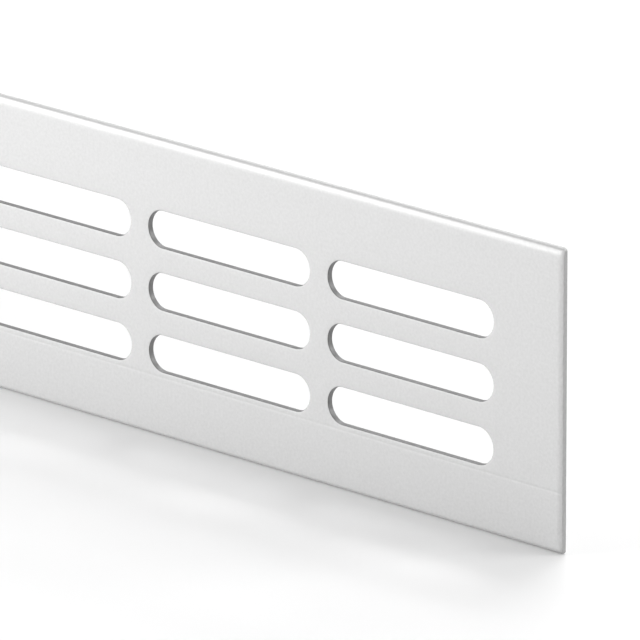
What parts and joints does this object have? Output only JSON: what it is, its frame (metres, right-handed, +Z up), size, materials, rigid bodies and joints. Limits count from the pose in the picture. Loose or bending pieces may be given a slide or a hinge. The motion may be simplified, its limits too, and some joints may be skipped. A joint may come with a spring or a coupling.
{
  "type": "ventilation grille",
  "caption": "Flat satin aluminium ventilation grille: one thin strip with rounded long edges and square-cut ends, punched with rows of round-ended slots, to fix over a vent cut-out.",
  "frame": {"origin": "middle of the strip's bounding box, halfway through its thickness", "axes": "+X along the strip, towards its right end seen from the front; the front with its rounded long edges faces -Y and the flat back +Y; +Z up, across the slot rows"},
  "size_m": [0.6, 0.0016, 0.08],
  "materials": {
    "anodised_aluminium": "satin natural anodised, very fine matt grain"
  },
  "bodies": {
    "root": {"grille_plate": "anodised_aluminium"}
  },
  "joints": []
}
